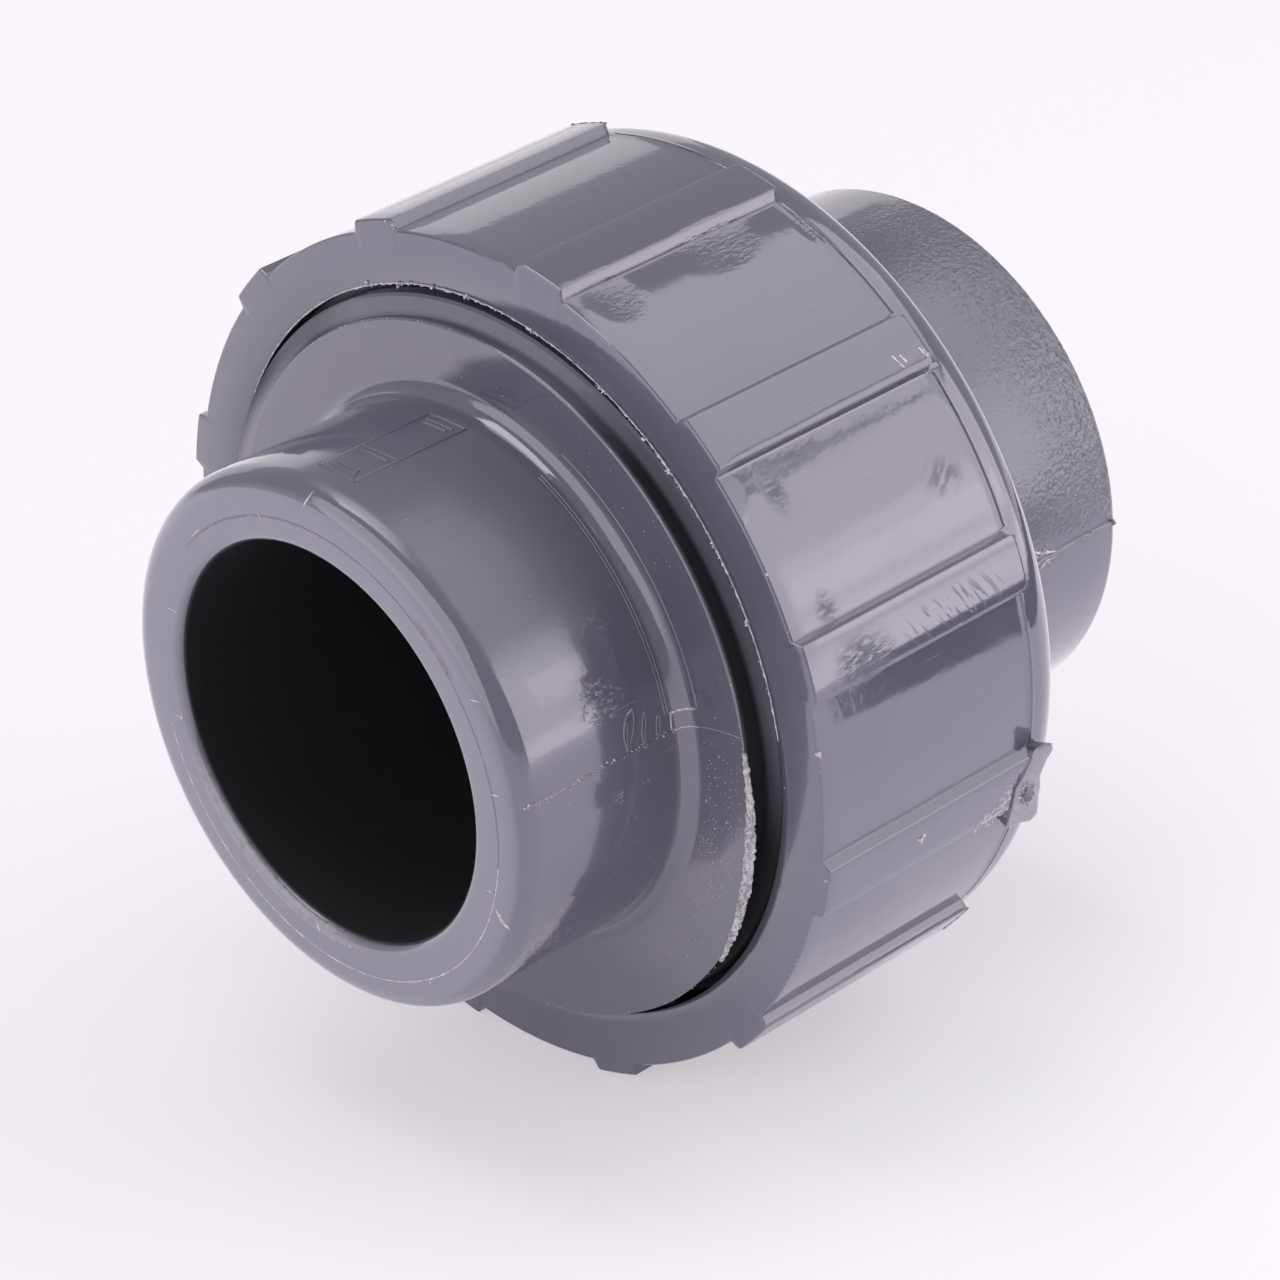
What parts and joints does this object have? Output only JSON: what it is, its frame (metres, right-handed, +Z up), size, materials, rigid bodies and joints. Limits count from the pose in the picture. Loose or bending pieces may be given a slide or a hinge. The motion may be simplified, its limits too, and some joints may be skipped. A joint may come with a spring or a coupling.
{
  "type": "pipe union",
  "caption": "Screwed plastic pipe union with a solvent-weld socket at each end, a threaded end, a ribbed union nut, a flanged tailpiece and a rubber sealing ring.",
  "frame": {"origin": "on the pipe axis, in the plane where the threaded end's sealing face meets the tailpiece's flange", "axes": "+X along the pipe axis from the threaded end to the tailpiece, +Z up with the nut lying on two of its grip bars"},
  "size_m": [0.0668, 0.0714, 0.0714],
  "materials": {
    "threaded_end_pvc": "glossy dark grey moulded PVC",
    "union_nut_pvc": "glossy dark grey moulded PVC",
    "tailpiece_pvc": "grained dark grey moulded PVC",
    "seal_rubber": "satin black rubber"
  },
  "bodies": {
    "tailpiece": {"tailpiece": "tailpiece_pvc"},
    "union_nut": {"union_nut": "union_nut_pvc"},
    "threaded_end": {"threaded_end": "threaded_end_pvc", "o_ring": "seal_rubber"}
  },
  "joints": [
    {"name": "nut_turn", "type": "hinge", "parent": "tailpiece", "child": "union_nut", "pos_m": [0, 0, 0], "axis": [1, 0, 0], "range_deg": [0, 972]},
    {"name": "end_slide", "type": "slide", "parent": "tailpiece", "child": "threaded_end", "axis": [-1, 0, 0], "range_m": [0, 0.01135]}
  ],
  "couplings": [
    {"joint": "end_slide", "follows": "nut_turn", "m_per_rad": 0.00066845}
  ]
}
